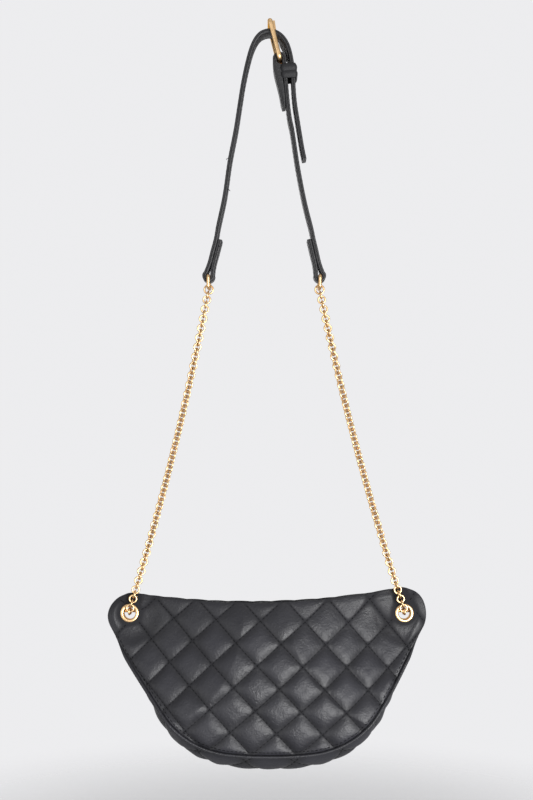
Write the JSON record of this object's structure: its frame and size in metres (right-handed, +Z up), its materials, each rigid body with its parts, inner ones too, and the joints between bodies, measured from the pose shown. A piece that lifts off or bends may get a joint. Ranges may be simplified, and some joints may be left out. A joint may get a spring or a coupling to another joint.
{
  "type": "crossbody purse",
  "caption": "Half-moon quilted leather crossbody purse with a top zip, hung by gold round-link chains from a buckled leather shoulder strap.",
  "frame": {"origin": "underside of the strap at the top of its arch, where a hook or a shoulder carries it, in the plane of the chains", "axes": "+Z up, -Y towards the quilted front, +X to the right seen from the front"},
  "size_m": [0.2794, 0.0575, 0.6519],
  "materials": {
    "leather": "satin grained",
    "strap_leather": "satin smooth",
    "lining": "matt woven",
    "wadding": "soft",
    "zip_tape": "matt woven",
    "gold": "polished"
  },
  "bodies": {
    "strap": {"strap_long": "strap_leather", "strap_short": "strap_leather", "strap_keeper": "strap_leather", "ring_left": "gold", "ring_right": "gold", "top_link_left": "gold", "top_link_right": "gold"},
    "buckle": {"buckle_frame": "gold"},
    "prong": {"buckle_prong": "gold"},
    "left_chain": {"chain_left": "gold"},
    "right_chain": {"chain_right": "gold"},
    "bag": {"front_panel": "leather", "front_padding": "wadding", "front_lining": "lining", "back_panel": "leather", "back_padding": "wadding", "back_lining": "lining", "gusset": "leather", "gusset_lining": "lining", "front_piping": "leather", "back_piping": "leather", "inner_pocket": "lining", "ear_stiffener_left": "wadding", "ear_stiffener_right": "wadding", "eyelet_left": "gold", "eyelet_right": "gold", "eyelet_washer_left": "gold", "eyelet_washer_right": "gold", "end_link_left": "gold", "end_link_right": "gold", "toggle_bar_left": "gold", "toggle_bar_right": "gold", "zip_tape_front": "zip_tape", "zip_tape_back": "zip_tape", "zip_teeth_front": "gold", "zip_teeth_back": "gold", "zip_stops": "gold"},
    "zip_slider": {"zip_slider": "gold"},
    "zip_pull": {"zip_pull": "gold"}
  },
  "joints": [
    {"name": "left_chain_swing", "type": "hinge", "parent": "strap", "child": "left_chain", "pos_m": [0, 0, -0.22565], "axis": [1, 0, 0], "range_deg": [-40, 40]},
    {"name": "right_chain_swing", "type": "hinge", "parent": "strap", "child": "right_chain", "pos_m": [0, 0, -0.22565], "axis": [1, 0, 0], "range_deg": [-40, 40]},
    {"name": "bag_tilt", "type": "hinge", "parent": "left_chain", "child": "bag", "pos_m": [0, 0, -0.5034], "axis": [1, 0, 0], "range_deg": [-35, 1]},
    {"name": "buckle_swing", "type": "hinge", "parent": "strap", "child": "buckle", "pos_m": [0.0109, 0, -0.0223], "axis": [0, 1, 0], "range_deg": [-15, 0]},
    {"name": "prong_swing", "type": "hinge", "parent": "strap", "child": "prong", "pos_m": [0.0109, 0, -0.0223], "axis": [0, 1, 0], "range_deg": [0, 2.5]},
    {"name": "zip_slide", "type": "slide", "parent": "bag", "child": "zip_slider", "axis": [1, 0, 0], "range_m": [0, 0.14], "deforming": ["zip_tape_front", "zip_tape_back", "zip_teeth_front", "zip_teeth_back"]},
    {"name": "zip_pull_flip", "type": "hinge", "parent": "zip_slider", "child": "zip_pull", "pos_m": [-0.0702, 0.00858, -0.4966], "axis": [0, 0.9962, -0.0872], "range_deg": [-120, 0]}
  ],
  "couplings": [
    {"joint": "right_chain_swing", "follows": "left_chain_swing", "ratio": 1}
  ]
}
